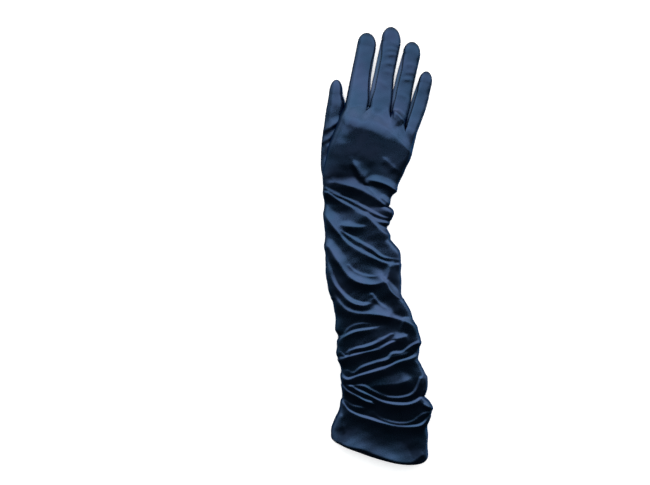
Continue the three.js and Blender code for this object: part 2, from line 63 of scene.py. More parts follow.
# Stitches
STITCH_PITCH = 2.7
STITCH_LENGTH = 1.5
STITCH_RADIUS = 0.5
STITCH_INSET = 2  # columns from the seam
STITCH_TURNS = np.radians(np.linspace(0, 360, 6, endpoint=False))
STITCH_RINGS = np.radians((-90, -50, 0, 50, 90))
THUMB_SEAM_DEGREES = 32  # where the seam lies around the thumb

# Cross-sections, as the solids have them
CROWN = 3.0  # power of the superellipse over the sleeve
HAND_CROWN = 3.2
HAND_SPAN = (50, 100)  # the y over which the sleeve's crown turns into the hand's
FINGER_CROWN = 2.9
THUMB_CROWN = 2.3
SOLE = 3.4  # its power on the underside
SOLE_PRESS = 1.12  # and how much of that is pressed flat
SEAM_LEVEL = 0.44  # share of the height at which the side seams lie
EDGE_FULLNESS = 3.0  # how much the crown grows towards the sleeve's side edges
EDGE_FULL_FROM = 0.2  # share of the way to an edge where that starts
EDGE_SPAN = (50, 90)  # the y over which it ends
LIFT_SPAN = (0.15, 0.7)  # shares of the width over which one side's lift turns into the other's
BOW_POWER = 0.42  # a row bows to the cuff as (1 - across^2) to this power
BOW_SKEW = 0.3  # and more on the right
QUIRK = 1.5  # half the height of the line where two fingers part
FINGER_BASE_HEIGHT = 15.5  # height of the sections at the crotches
WEB_FULLNESS = 0.75  # how far the sides of the fingers swell near the crotches
WEB_LENGTH = 0.5  # share of the shaft that swells
WEB_POWER = 0.7  # below 1, the swelling is fullest near the crotch
MID_LIFT = 0.4  # share of a crotch's lift that is left at the middle of the finger
TOP_HEIGHT = 0.86  # height of a finger's shoulder, as a share of its own
TIP_HEIGHT = 0.34  # height of its tip, as a share of the shoulder's
CAP_POWER = 0.9  # below 1, a tip is blunter than a circle
CAP_DEGREES = (4, 87)  # where its rows start and end
SEAM_REST = 0.45  # how open the finger seams are at the crotch
SEAM_OPENS = (0, 0.3)  # shares of the shaft where they open, and where they close
SEAM_CLOSES = (0.72, 1)
TUCK = 7  # degrees by which a strip between fingers reaches under the back and the palm
BRIDGE_SOFTNESS = 0.08  # how rounded the bridge over a crotch is
BACK_DIP_POWER = 9  # how late the dips between the fingers set in
PALM_DIP_POWER = 1
SIDE_FADE = 0.72  # share of the half width over which the palm follows the back's edge
SEAM_FADE = 0.93  # share at which it starts to follow it upwards
PALM_DENT = 2.0  # depth of the hollows under the sleeve
PALM_REST = 0.3  # level below which the palm lies flat
PALM_WAVES = (9.0, 15.0, 11.0, 17.0)  # lengths of their two waves
PALM_HOLLOW_SPAN = (20, 50)  # the y over which the hollows end
PALM_HOLLOW_WIDTH = (0.6, 0.9)  # and the share of the half width

# Fineness of the grids
SLEEVE_ROWS = 560
HAND_ROWS = 34
FINGER_ROWS = 54
CAP_ROWS = 12
BACK_COLUMNS = (40, 30, 30, 30)
PALM_COLUMNS = 10
SIDE_COLUMNS = 5
THUMB_SIDES = 40
THUMB_ROWS = 96
SEWN_ROWS = slice(2, FINGER_ROWS - 6)  # the rows beside which a finger's seams are sewn
THUMB_SEWN_ROWS = slice(int(THUMB_ROWS * 0.58), THUMB_ROWS)
HEM_ROWS = 8
HEM_TURNS = 7  # points round the hem's folded edge
INNER_SKIP = 3  # the inner face keeps one row and column of so many
SHARP_DEGREES = 72  # steeper edges are shown sharp

# Folds
FOLD_SAMPLES = 40
FOLD_DROOP = 0.22  # how far a crest leans to the cuff, as a share of its rise
FOLD_BLEND = 2.6  # how sharply neighbouring folds merge
FOLD_ENDS = 0.3  # share of a crest over which its rise sets in, and sinks
CREST_ROUND = 0.5  # radius of a crest
LIT_POWER = (1.5, 2.1)  # how much steeper a narrow and a wide lit bank is at its crest
LIT_WIDTHS = (3, 11)  # what counts as narrow and as wide
LIT_LEAST = 0.35  # share of a lit bank's width where the crest has no rise
DARK_POWER = 1.5
DARK_REACH = 3  # widths at which a dark bank has ended
BANK_BLEND = 0.5  # how far round a crest's end one bank turns into the other
BANK_BLUR = 0.01  # how near a crest its points are on neither bank
SWELL = 0.16  # how much a crest swells and sinks along its length
SWELL_LENGTH = 7.0
SWELL_SHIFT = 2.4  # so that no two crests swell alike
CRUMPLE = 0.2  # height of the faint creasing everywhere
HAND_FADE = (0.1, 1)  # shares of the way from the knuckles to the crotches where folds end
CREASE_ROWS = 12  # rows over which a finger's creases set in at its root
CREASE_MARGIN = 3  # and how far from its seams

# Cross-sections from the cuff to the knuckles: left y, right y, bow, height, lift
SECTIONS = np.array([
    (-194, -213, 14.4, 24.2, 0),
    (-180, -199, 12, 24, 0),
    (-165, -180, 9, 23.5, 0),
    (-152, -159, 4, 24.5, 0),
    (-136, -139, 0, 26, 0),
    (-119, -117, 0, 26, 0),
    (-102, -98, 0, 26, 0),
    (-82, -80, 0, 25, 0),
    (-59, -59, 0, 24, 0),
    (-36, -36, 0, 23, 0),
    (-14, -14, 0, 22, 0),
    (7, 7, 0, 20, 0),
    (26, 26, 0, 19, 0),
    (43, 42, 0, 18, 0),
    (62, 56, 0, 18, 2),
    (80, 68, 0, 18.5, 5),
    (104, 80, 0, 19.5, 8.5),
    (127.5, 95, 0, 19.5, 9),
], float)

# The two side edges: y, x
LEFT_EDGE = np.array([
    (-194, -46.2), (-187, -46.6), (-180, -44), (-165, -37), (-152, -35), (-136, -35.5),
    (-119, -37.5), (-110, -41), (-102, -40.2), (-92, -39.6), (-86, -42.4), (-76, -41.8),
    (-66, -43), (-55.5, -44), (-45, -47), (-35, -48.6), (-25, -49.8), (-14, -50.9), (-4, -51.8),
    (16, -52.8), (37, -53.2), (57, -54), (66, -55), (76, -55), (90, -51.6), (102, -48.4),
    (116, -42.4), (126, -37.2), (133, -35),
], float)
RIGHT_EDGE = np.array([
    (-213, 52.8), (-204, 52.2), (-193, 52.6), (-182, 51), (-175, 53.8), (-166, 56.6),
    (-159, 54.4), (-154, 47.6), (-150, 49), (-146, 50.4), (-132, 50.2), (-121, 45), (-115, 41.2),
    (-102, 44), (-95, 45), (-82, 38.8), (-76, 37.2), (-67, 34.6), (-59, 29.4), (-53, 25.4),
    (-35, 25.4), (-25, 24.4), (-11, 23.2), (-5, 21.2), (1, 16), (6, 11.4), (13, 10.4),
    (19.5, 9.6), (25, 12.4), (31, 14.6), (36, 14), (40.5, 9), (45, 12.6), (51, 15.2), (58, 19.4),
    (72, 25.6), (82, 29.4), (90, 33.2), (95, 34.6),
], float)

# The line where hand becomes fingers: x, y, lift
CROTCHES = np.array([
    (-32.4, 146, 7.5),
    (-8, 143, 5.5),
    (15, 138, 2),
    (30, 123, 0.5),
    (42.5, 118, 0),
], float)

FINGER_NAMES = ("index", "middle", "ring", "little")
# Fingers: middle x, y, width; shoulder x, y, width; tip x, y; height; the seams' angles above
# the horizontal: back left, palm left, back right, palm right
FINGERS = np.array([
    (-16, 173.6, 21, -10.1, 206, 19.8, -8.6, 219.2, 12, 0, 0, 32, -30),
    (7.6, 173.6, 21.2, 15, 210, 20.6, 16.3, 225.2, 12.4, 52, -22, 16, -42),
    (27.9, 163, 19.8, 36.2, 197, 18.4, 38, 210, 12, 52, -22, 14, -42),
    (43.7, 146, 16.8, 50, 168, 14.4, 52.6, 179.6, 10.6, 48, -22, 0, 0),
], float)
CROTCH_DEGREES = (180, 114, 80, 46, 0)  # the angle at which each crotch lies

# Thumb: x, y, width, height, lift
THUMB = np.array([
    (-43, 56, 14, 8.5, 4),
    (-44, 66, 20, 9.2, 2.4),
    (-44.6, 80, 25, 8.8, 0.6),
    (-44.6, 95, 25, 8.2, 0),
    (-44.2, 110, 23.6, 8.8, 0),
    (-43, 124, 22, 9.8, 0),
    (-41.8, 137, 21, 10.2, 0),
    (-41.2, 147, 18.6, 10.4, 0),
    (-41.8, 156, 14.4, 9.6, 0),
], float)
THUMB_TIP = np.array((-41.1, 171.3, 4.2))
THUMB_DEGREES = np.linspace(180, -180, THUMB_SIDES, endpoint=False)
THUMB_FOLD_FADE = 30  # degrees from the thumb's edges over which its folds set in

# The gathers. Each is a crest through its points, with a lit bank on the fingers' side and a
# dark bank on the cuff's side: rise, width of the lit bank, width of the dark bank, share of
# the rise at its start, share at its end, and then the points x, y.
FOLDS = [
    # the knuckles, and the crossing above the wrist
    (4, 21, 28, 1, 0.5, (-38, 137.5), (-30, 140.5), (-22, 139.5), (-10, 133), (3, 125),
     (13, 117), (23, 107.5), (34, 95)),
    (1.7, 9, 6, 0.4, 0.3, (3.5, 92.5), (10.5, 87), (17.5, 80.5), (24, 76.5)),
    (3.2, 14, 2.6, 0.3, 0.6, (-25.5, 89), (-21.5, 81), (-17.3, 73), (-14, 67.8), (-11.5, 64.8)),
    (0.6, 5, 5, 0.4, 0.6, (-8.5, 71.5), (-0.5, 69.5), (6.5, 69.5), (16, 65)),
    (2.6, 9.5, 4, 0.4, 0.8, (-9.5, 67.8), (-1.5, 66.8), (6.5, 64.5), (13, 61.5), (18, 58)),
    (1.3, 2.2, 3, 0.6, 0.5, (-10.5, 61), (-4.5, 55.5), (0, 50.5), (5, 45.5), (9, 41.5)),
    (1.8, 5, 3, 0.2, 0.9, (2, 52), (7.5, 47.6), (12, 44), (15, 40.5)),
    (2.8, 12, 8, 0.5, 1.2, (-43.5, 65), (-27, 61.5), (-17, 58), (-8.5, 53.5), (-0.5, 48.5),
     (7.5, 42.5), (12, 39), (16, 36)),
    # the two lines across the wrist, and the patches below them
    (1.2, 4, 4, 0.7, 0.1, (-52, 59), (-45.5, 55), (-39.5, 52), (-33.5, 48.5)),
    (1.3, 2.2, 4, 0.6, 1, (-44.5, 53.5), (-27, 46.8), (-15, 40.3), (-3, 34), (7, 29.7),
     (16, 28)),
    (1.6, 2.4, 6, 1.3, 1, (-50, 55), (-39.5, 47.5), (-27, 40.5), (-15, 33.5), (-5, 27.8),
     (3, 25), (13, 23.5)),
    (1.7, 7, 5, 0.5, 0.3, (-36, 21.5), (-28, 20.3), (-20, 19.5), (-12, 20.2), (-8, 24)),
    (3.4, 9, 12, 0.8, 1, (-11, 31), (-3.5, 23.5), (2.5, 17.5), (8, 12.5), (13.5, 8.5),
     (18.5, 3), (22.5, -4)),
    (2, 12, 5, 0.8, 0, (-53, 34), (-46.5, 23.5), (-39.5, 14.5), (-31.5, 5)),
    (1.3, 2.6, 3.5, 0.5, 0.8, (-36.5, 15.5), (-25, 8), (-15, 2.5), (-4.5, -3.5), (5.5, -11),
     (22, -14)),
    (1.5, 3, 6, 0.8, 1, (-53, 33.5), (-41.5, 16), (-29.5, 2.5), (-15, -6.5), (3.5, -15.5),
     (15, -19), (24, -19)),
    # the swags of the forearm
    (3, 11.5, 6, 0.8, 0.7, (-48.5, -1), (-39.5, -16.5), (-30.5, -29), (-20, -36.5), (-7.5, -39.5),
     (3.5, -38), (11, -32.5), (14, -21.5)),
    (0.9, 2.6, 3, 0.6, 0.5, (-29, -20), (-23, -26), (-14, -30), (-4, -31.3), (6, -29)),
    (2, 3.8, 6, 0.8, 0.6, (-50.5, -13), (-44.7, -36), (-36.7, -47.8), (-25.7, -57.8), (-14, -61),
     (-7.5, -59.2), (-4.5, -55)),
    (2.4, 8, 4, 0.3, 0.8, (-50.5, -18), (-49.5, -32), (-47.5, -44), (-44.5, -53)),
    (1.8, 6.5, 6, 0.6, 0.9, (-46.5, -38), (-40.5, -54.5), (-31.5, -65), (-19, -69.2), (-4.5, -69.7),
     (10, -71.9), (24, -75.9), (39.5, -83.2)),
    (3.6, 19, 5, 0.3, 0.1, (-8, -69.8), (-2, -70), (5, -71), (13, -73), (20, -75)),
    (1.5, 4, 3, 0.8, 0.1, (-4.5, -50), (-1, -55), (2.5, -59), (8, -63), (14, -66.5)),
    (2.4, 6, 8, 0.2, 1, (24, -75), (31.5, -78), (38.5, -82.5)),
    (3.3, 6.2, 12, 1, 0.9, (9.8, -38), (13.5, -45), (18.6, -50.9), (25.8, -56.4)),
    # the tight gathers at the elbow
    (0.45, 2, 3, 1.2, 0.3, (-33.5, -93), (-31.3, -88.4), (-28.3, -84.4), (-22, -80.9),
     (-14, -79.5), (-4, -80)),
    (1.2, 2.2, 5, 0.9, 0.2, (-40.5, -98), (-33, -93), (-25, -89), (-17, -86.8), (-6.5, -85.3),
     (4, -82.5)),
    (1.9, 8, 5, 0.2, 0.3, (16, -96), (22, -94.6), (28.5, -93), (33, -91)),
    (1.2, 2.2, 4, 0.6, 0.4, (-28.5, -108), (-21, -105.2), (-13, -103.7), (-2.5, -100.2),
     (7.5, -94.8), (15, -90.4)),
    (1.3, 2.2, 6, 0.9, 0.8, (-38.5, -116.2), (-27, -113), (-13, -109.4), (1.5, -105.8),
     (10, -101.4), (17, -98.2), (24, -97)),
    (1, 2.5, 3, 0.5, 0.9, (-42.5, -106), (-42, -112), (-38.5, -117), (-31.5, -115.5)),
    (0.8, 2, 2, 0.4, 0.6, (-36.5, -109), (-31.5, -113.5), (-28.5, -111.5), (-27.5, -107)),
    (1.3, 3, 4, 0.2, 0.9, (-29.5, -128), (-24, -130.5), (-15, -124.5), (-0.5, -119.4),
     (12, -115.8), (16, -110.6), (26, -109.4), (32, -105), (37.5, -101.3), (43.5, -98.6)),
    (1.5, 5, 3, 0.4, 0.3, (12, -115), (20, -112.5), (28.5, -111), (34.5, -107)),
    (1.4, 2.3, 6, 0.8, 1, (-41.5, -117), (-37.5, -130), (-30.5, -136.7), (-19, -133.2),
     (-4.5, -129.1), (10, -124.5), (24, -118.3), (38.5, -113.6), (44.5, -106)),
    (2, 15, 8, 0.5, 0.1, (-2, -143), (10, -142), (24, -140.5), (38, -135)),
    (1.4, 3, 3.4, 0.6, 1, (-26, -143.8), (-20, -143), (-13, -143.9), (-2.5, -149),
     (10, -154.5), (22, -155.6), (32, -153.8), (38, -150.5), (42, -144.5), (45, -136)),
    (1.8, 2.4, 6, 0.8, 0.8, (-26, -143.6), (-19, -148), (-6.5, -153.6), (5.5, -159.4),
     (20, -162.3), (34.5, -161.9), (45, -156.3), (49.5, -145), (50.5, -134)),
    # the last gathers, and the rim that turns up at the cuff
    (2, 2.2, 4, 0.6, 1, (-35.5, -142), (-29.5, -148.7), (-20, -153.8), (-12, -158.2),
     (-5.5, -160.2)),
    (0.6, 2.2, 4, 0.5, 0.3, (-31.5, -159), (-26, -163.5), (-18, -165.3), (-8.5, -166.3)),
    (1.6, 2, 7, 0.8, 1, (-36.5, -157), (-29.5, -167.8), (-19, -173.7), (-6.5, -177.5),
     (5.5, -181.3), (20, -184.6), (34.5, -185.3), (46.5, -183), (54.5, -174)),
    (0.7, 1.8, 5, 0.4, 0.9, (-3, -170.5), (4, -176.8), (18, -181.3), (31, -181.6), (38, -179),
     (43, -175.2), (48, -172), (55, -169.8)),
    (1.3, 4, 3, 0.6, 1, (46.5, -161), (51, -164), (57, -166)),
    (1.2, 5, 6, 0.3, 0.5, (-35, -170), (-35.7, -180), (-33.5, -190)),
    (3.4, 22, 4, 0.6, 0.5, (-41, -200.5), (-29, -205.5), (-15, -208.5), (-2.5, -213.5),
     (12, -218.5), (24, -221.5), (36.5, -221.5), (46, -214.5)),
]
# The dip beside the root of the ring finger, in the same columns
DENT = [
    (3, 5, 9, 0.3, 0.5, (15.5, 138), (20.5, 135.5), (25.5, 130.5), (29.5, 124.5)),
]
# Small creases on the backs of the fingers, in the same columns
FINGER_FOLDS = [
    (0.3, 4, 2, 0.5, 0.7, (13.5, 210.5), (18, 208.5), (22.5, 206.5)),
    (0.5, 3, 2, 0.4, 0.4, (10, 202), (15, 202.5), (20, 202)),
    (0.6, 3, 2, 0.4, 0.4, (9.5, 196.5), (14.5, 197), (19, 196.5)),
    (0.4, 3, 2, 0.4, 0.4, (8, 187.5), (12, 188), (16, 187.5)),
    (0.34, 3, 2, 0.4, 0.4, (6.5, 179), (10.5, 179.5), (14.5, 179)),
    (0.26, 3, 2, 0.5, 0.4, (2, 169.5), (6.5, 167), (10.8, 164)),
    (0.34, 3, 2, 0.4, 0.4, (30.5, 186), (34, 186.5), (38, 186)),
    (0.36, 3, 2, 0.4, 0.4, (29, 178), (33.5, 178.5), (38, 178)),
    (0.5, 3, 2, 0.4, 0.4, (26.5, 171), (30.5, 171.5), (35, 171)),
    (0.3, 3, 2, 0.5, 0.4, (24, 155.5), (28, 154), (31.5, 152)),
]
# The folds of the thumb, in the same columns
THUMB_FOLDS = [
    (1.6, 6, 2.6, 0.7, 0.8, (-54, 118), (-45.5, 123.5), (-37.5, 129)),
    (1.6, 5, 2.6, 0.7, 0.8, (-55, 107), (-48, 111.5), (-41.5, 119)),
    (1, 5, 3, 0.6, 0.6, (-57, 93.5), (-52, 99.5), (-46.5, 106)),
]


def ease(start, end, x):
    """0 up to start, 1 from end on, and k * k * (3 - 2 k) between them."""
    k = np.clip((x - start) / (end - start), 0.0, 1.0)
    return k * k * (3.0 - 2.0 * k)


def mix(a, b, k):
    """The part k of the way from a to b."""
    return a + (b - a) * k


def unit(vectors):
    """The same directions with a length of 1."""
    return vectors / np.maximum(np.linalg.norm(vectors, axis=-1, keepdims=True), 1e-12)


def chord_lengths(points):
    """How far each point of a line is from its start."""
    return np.concatenate([[0], np.cumsum(np.linalg.norm(np.diff(points, axis=0), axis=1))])


def hermite(start, rise, leave, arrive, x):
    """Cubic from start by rise, with its two slopes, for x from 0 to 1:
    start + x (leave + x (3 rise - 2 leave - arrive) + x x (leave + arrive - 2 rise))."""
    return start + x * (leave + x * (3 * rise - 2 * leave - arrive)
                        + x * x * (leave + arrive - 2 * rise))


def through_rows(rows, distances, at):
    """Hermite curve through a table's rows, which lie at the given distances: the slope at
    a row is that between its neighbours."""
    count = len(rows)
    before = np.maximum(np.arange(count) - 1, 0)
    after = np.minimum(np.arange(count) + 1, count - 1)
    slopes = (rows[after] - rows[before]) / (distances[after] - distances[before])[:, None]
    at = np.atleast_1d(at)
    k = np.clip(np.searchsorted(distances, at, side="left") - 1, 0, count - 2)
    span = (distances[k + 1] - distances[k])[:, None]
    x = np.clip((at - distances[k])[:, None] / span, 0.0, 1.0)
    return hermite(rows[k], rows[k + 1] - rows[k], slopes[k] * span, slopes[k + 1] * span, x)


def edge_fullness(y, degrees):
    """How much squarer than its middle the sleeve's section is towards both side edges."""
    outwards = np.abs(np.cos(np.radians(degrees)))
    return EDGE_FULLNESS * ease(EDGE_FULL_FROM, 1, outwards) * (1 - ease(*EDGE_SPAN, y))


def section_points(sections, degrees, crown=CROWN):
    """A superellipse for each section row (left x, y, right x, y, bow, height, lifts):
    across = sign(cos) |cos| ^ (2 / n) runs from the left edge at 180 degrees over the top
    to the right edge at 0, and the height is |sin| ^ (2 / n) of the part above the side
    seams, or of the flatter part below them."""
    degrees = np.broadcast_to(degrees, (len(sections), np.shape(degrees)[-1]))
    side, level = np.cos(np.radians(degrees)), np.abs(np.sin(np.radians(degrees)))
    top = (degrees > 0) & (degrees < 180)
    power = np.where(top, 2 / crown, 2 / SOLE)
    across = np.sign(side) * np.abs(side) ** power
    share = (across + 1) / 2
    left_x, left_y, right_x, right_y, bow, height, lift_left, lift_right = (
        sections[:, k:k + 1] for k in range(8))
    floor = np.maximum(0, mix(lift_left, lift_right, ease(*LIFT_SPAN, share)))
    seam = height * SEAM_LEVEL
    above = (height - seam) * level ** power
    below = np.minimum(seam, seam * SOLE_PRESS * level ** power)
    arch = np.maximum(0, 1 - across * across) ** BOW_POWER
    x = mix(left_x, right_x, share)
    y = mix(left_y, right_y, share) - bow * arch * (1 + BOW_SKEW * across)
    return np.stack([x, y, floor + seam + np.where(top, above, -below)], axis=-1)


def grid_normals(points):
    """Unit vector of (step across) x (step along) at each point of a grid."""
    across, along = np.gradient(points, axis=1), np.gradient(points, axis=0)
    return unit(np.cross(across, along))


def side_distances(grid):
    """For each point of a grid, how far along its row the nearer edge is."""
    steps = np.linalg.norm(np.diff(grid, axis=1), axis=-1)
    along = np.concatenate([np.zeros((len(grid), 1)), np.cumsum(steps, axis=1)], axis=1)
    return np.minimum(along, along[:, -1:] - along)


# Folds
def ridge_line(rise, points):
    """Points along a crest: a Hermite curve by chord length through the given ones, which
    lie higher up the sleeve by what the crest will lean to the cuff."""
    knots = np.array(points, float)
    knots[:, 1] += FOLD_DROOP * rise
    lengths = chord_lengths(knots)
    return through_rows(knots, lengths, np.linspace(0, lengths[-1], FOLD_SAMPLES))


def ridges(folds):
    """A fold table with each row's points made a crest."""
    return [(ridge_line(fold[0], fold[5:]), *fold[:5]) for fold in folds]


def crumple(x, y):
    """Faint creasing between the gathers: products of sine waves, 25 and 13 mm long up the
    sleeve, 69 and 38 mm across it, whose rows are bent by other sines."""
    bend = 2.4 * np.sin(x / 13 + 0.7) + 1.6 * np.sin(x / 5.3 + y / 31)
    coarse = np.sin((y + bend) / 3.9) * np.sin(x / 11 + 1.7 * np.sin(y / 17))
    fine = np.sin((y - 1.3 * bend) / 2.1 + 1.1 * np.sin(x / 7)) * np.sin(x / 6.1 - y / 9)
    return CRUMPLE * (1 + 0.65 * coarse + 0.35 * fine)


def from_crest(line, x, y):
    """Each point's distance to a crest, its side, from -1 towards the cuff to 1 towards the
    fingers, and its share of the way along: the nearest point of each straight step of the
    crest is start + t * step with t = offset . step / step . step, kept within 0 to 1."""
    step_x, step_y = np.diff(line, axis=0).T
    from_x = x[:, None] - line[:-1, 0]
    from_y = y[:, None] - line[:-1, 1]
    t = np.clip((from_x * step_x + from_y * step_y) / (step_x * step_x + step_y * step_y), 0, 1)
    off_x = from_x - t * step_x
    off_y = from_y - t * step_y
    distances = np.hypot(off_x, off_y)
    k = np.argmin(distances, axis=1)
    nearest = (np.arange(len(k)), k)
    distance = distances[nearest]
    turned = step_x[k] * off_y[nearest] - step_y[k] * off_x[nearest]
    side = turned / (np.hypot(step_x, step_y)[k] * (distance + BANK_BLUR))
    return distance, side, (k + t[nearest]) / (len(line) - 1)


def fold_rise(x, y, lines):
    """How far the gathers lift the satin. With d the distance to a crest, its lit bank is
    rise * (1 - d / lit) ^ power and its dark bank rise * exp(-(d / dark) ^ 1.5), the power
    being larger in a wide bank, and the rise swelling and sinking along the crest as a
    sine. The gathers merge as the p-norm of their heights."""
    total = np.zeros_like(x)
    for number, (line, rise, lit, dark, start, end) in enumerate(lines):
        margin = max(lit, DARK_REACH * dark)
        lowest, highest = line.min(axis=0) - margin, line.max(axis=0) + margin
        near = (x > lowest[0]) & (x < highest[0]) & (y > lowest[1]) & (y < highest[1])
        distance, side, along = from_crest(line, x[near], y[near])
        length = np.hypot(*np.diff(line, axis=0).T).sum()
        strength = mix(start, 1, ease(0, FOLD_ENDS, along))
        strength = strength * mix(1, end, ease(1 - FOLD_ENDS, 1, along))
        strength *= 1 + SWELL * np.sin(along * length / SWELL_LENGTH + SWELL_SHIFT * number)
        rounded = np.hypot(distance, CREST_ROUND) - CREST_ROUND
        width = lit * mix(LIT_LEAST, 1, strength)
        lit_bank = np.maximum(0, 1 - rounded / width) ** mix(*LIT_POWER, ease(*LIT_WIDTHS, lit))
        dark_bank = np.exp(-((rounded / dark) ** DARK_POWER))
        height = rise * strength * mix(dark_bank, lit_bank, ease(-BANK_BLEND, BANK_BLEND, side))
        total[near] += height ** FOLD_BLEND
    return total ** (1 / FOLD_BLEND)


GATHERS = ridges(FOLDS)
DIP = ridges(DENT)
FINGER_CREASES = ridges(FINGER_FOLDS)
THUMB_CREASES = ridges(THUMB_FOLDS)


def push_out(plain, kept=1.0, lines=GATHERS):
    """Lifts a plain surface along its normal by its folds, which lean to the cuff."""
    x, y = plain[..., 0], plain[..., 1]
    rise = ((fold_rise(x, y, lines) + crumple(x, y)) * kept)[..., None]
    lifted = plain + grid_normals(plain) * rise
    lifted[..., 1] -= rise[..., 0] * FOLD_DROOP
    return lifted


def creased(strip):
    """A finger's back with its small folds, which fade out at its root and its seams."""
    root = ease(0, CREASE_ROWS, np.arange(len(strip)))[:, None]
    return push_out(strip, root * ease(0, CREASE_MARGIN, side_distances(strip)), FINGER_CREASES)


def dented(grid):
    """Raises the crest beside the dip straight up, so that hand and fingers still meet."""
    raised = grid.copy()
    raised[..., 2] += fold_rise(grid[..., 0], grid[..., 1], DIP)
    return raised


def sink_seams(grid, depth=SEAM_GROOVE, reach=SEAM_REACH):
    """Pushes a strip in at its two long edges: depth * exp(-(distance / reach)^2)."""
    drop = depth * np.exp(-((side_distances(grid) / reach) ** 2))
    return grid - grid_normals(grid) * drop[..., None]


# The sleeve and the palm of the hand
SECTION_DISTANCES = np.concatenate(
    [[0], np.cumsum(np.diff((SECTIONS[:, 0] + SECTIONS[:, 1]) / 2))])
SLEEVE_LENGTH = SECTION_DISTANCES[-1]


def sleeve_sections(stations):
    """The table's rows at the stations, with each end's x from its edge's own curve."""
    left_y, right_y, bow, height, lift = through_rows(SECTIONS, SECTION_DISTANCES, stations).T
    left_x = through_rows(LEFT_EDGE[:, 1:], LEFT_EDGE[:, 0], left_y)[:, 0]
    right_x = through_rows(RIGHT_EDGE[:, 1:], RIGHT_EDGE[:, 0], right_y)[:, 0]
    return np.column_stack(
        [left_x, left_y, right_x, right_y, bow, height, lift, np.zeros_like(lift)])


def column_degrees(columns):
    """Angles of the columns across the back, so many between each two crotches."""
    return np.concatenate([
        np.linspace(CROTCH_DEGREES[k], CROTCH_DEGREES[k + 1], count + 1)[min(k, 1):]
        for k, count in enumerate(columns)])


BACK_DEGREES = column_degrees(BACK_COLUMNS)
PALM_DEGREES = -column_degrees([PALM_COLUMNS] * 4)[::-1]


def plain_top(sections):
    """The sleeve's and hand's top before its folds."""
    y = sections[:, 1:2]
    crowns = mix(CROWN, HAND_CROWN, ease(*HAND_SPAN, y)) + edge_fullness(y, BACK_DEGREES)
    return section_points(sections, BACK_DEGREES, crowns)


def palm_hollow(x, y, across):
    """Shallow hollows under the sleeve: the part of sin * sin above a threshold."""
    along_x, skew_y, along_y, skew_x = PALM_WAVES
    wave = np.sin(x / along_x + y / skew_y) * np.sin(y / along_y - x / skew_x)
    kept = (1 - ease(*PALM_HOLLOW_SPAN, y)) * (1 - ease(*PALM_HOLLOW_WIDTH, across))
    return PALM_DENT * np.maximum(0, wave - PALM_REST) * kept


def carried_palm(sections, plain, back):
    """The underside: its edges go with the back's, and shallow hollows rise under it."""
    under = section_points(sections, PALM_DEGREES)
    left, right = plain[:, :1], plain[:, -1:]
    across = (2 * under[..., 0] - left[..., 0] - right[..., 0]) / (right - left)[..., 0]
    shift = np.where(across[..., None] < 0, back[:, :1] - left, back[:, -1:] - right)
    sideways = ease(1 - SIDE_FADE, 1, np.abs(across))
    upward = ease(SEAM_FADE, 1, np.abs(across))
    palm = under + shift * np.stack([sideways, sideways, upward], axis=-1)
    palm[..., 2] += palm_hollow(under[..., 0], under[..., 1], np.abs(across))
    return palm


# The fingers
def square_sections(x, y, axis, width, height, lift):
    """Sections square to a finger's axis: both edges half a width from the centre."""
    x, y, width, height, lift = np.broadcast_arrays(x, y, width, height, lift)
    return np.stack([
        x - axis[1] * width / 2, y + axis[0] * width / 2,
        x + axis[1] * width / 2, y - axis[0] * width / 2,
        np.zeros_like(width), height, lift, lift], axis=-1).astype(float)


def cap_sections(top, tip, axis):
    """A rounded end: forward = sin, width = cos ^ CAP_POWER, from the shoulder to the tip."""
    angle = np.radians(np.linspace(*CAP_DEGREES, CAP_ROWS))
    forward, narrow = np.sin(angle), np.cos(angle) ** CAP_POWER
    height = top[3] * mix(TIP_HEIGHT, 1, narrow)
    return square_sections(
        mix(top[0], tip[0], forward), mix(top[1], tip[1], forward), axis,
        top[2] * narrow, height, (top[3] - height) * SEAM_LEVEL)


def finger_sections(k):
    """A finger's shaft, as Hermite curves through its root, middle and shoulder, whose sides
    swell near the crotches as a sine, then its rounded end, then its tip."""
    mid_x, mid_y, mid_width, top_x, top_y, top_width, tip_x, tip_y, height = FINGERS[k, :9]
    left, right = CROTCHES[k], CROTCHES[k + 1]
    axis = np.array([top_x - mid_x, top_y - mid_y])
    axis /= np.linalg.norm(axis)
    top_height = height * TOP_HEIGHT
    root = np.array([*left[:2], *right[:2], 0, FINGER_BASE_HEIGHT, left[2], right[2]])
    middle = square_sections(mid_x, mid_y, axis, mid_width, height, 0)
    middle[6:8] = left[2] * MID_LIFT, right[2] * MID_LIFT
    shoulder = square_sections(top_x, top_y, axis, top_width, top_height, 0)
    knots = np.stack([root, middle, shoulder])
    centres = (knots[:, 1] + knots[:, 3]) / 2
    v = np.linspace(0, 1, FINGER_ROWS + 1)
    shaft = through_rows(knots, centres - centres[0], v * (centres[2] - centres[0]))
    wave = np.sin(np.pi * np.clip(v / WEB_LENGTH, 0, 1) ** WEB_POWER)
    swell = WEB_FULLNESS * wave[:, None] * [axis[1], -axis[0]]
    if k > 0:
        shaft[:, 0:2] -= swell
    if k < 3:
        shaft[:, 2:4] += swell
    cap = cap_sections((top_x, top_y, top_width, top_height), (tip_x, tip_y), axis)
    return shaft, cap, np.array([tip_x, tip_y, top_height * SEAM_LEVEL])


def crotch_line(k):
    """The short upright line where two fingers part, from the palm to the back."""
    x, y, lift = CROTCHES[k]
    sides = np.linspace(-1, 1, SIDE_COLUMNS + 1)
    heights = lift + FINGER_BASE_HEIGHT * SEAM_LEVEL + sides * QUIRK
    return np.stack([np.full_like(sides, x), np.full_like(sides, y), heights], axis=-1)


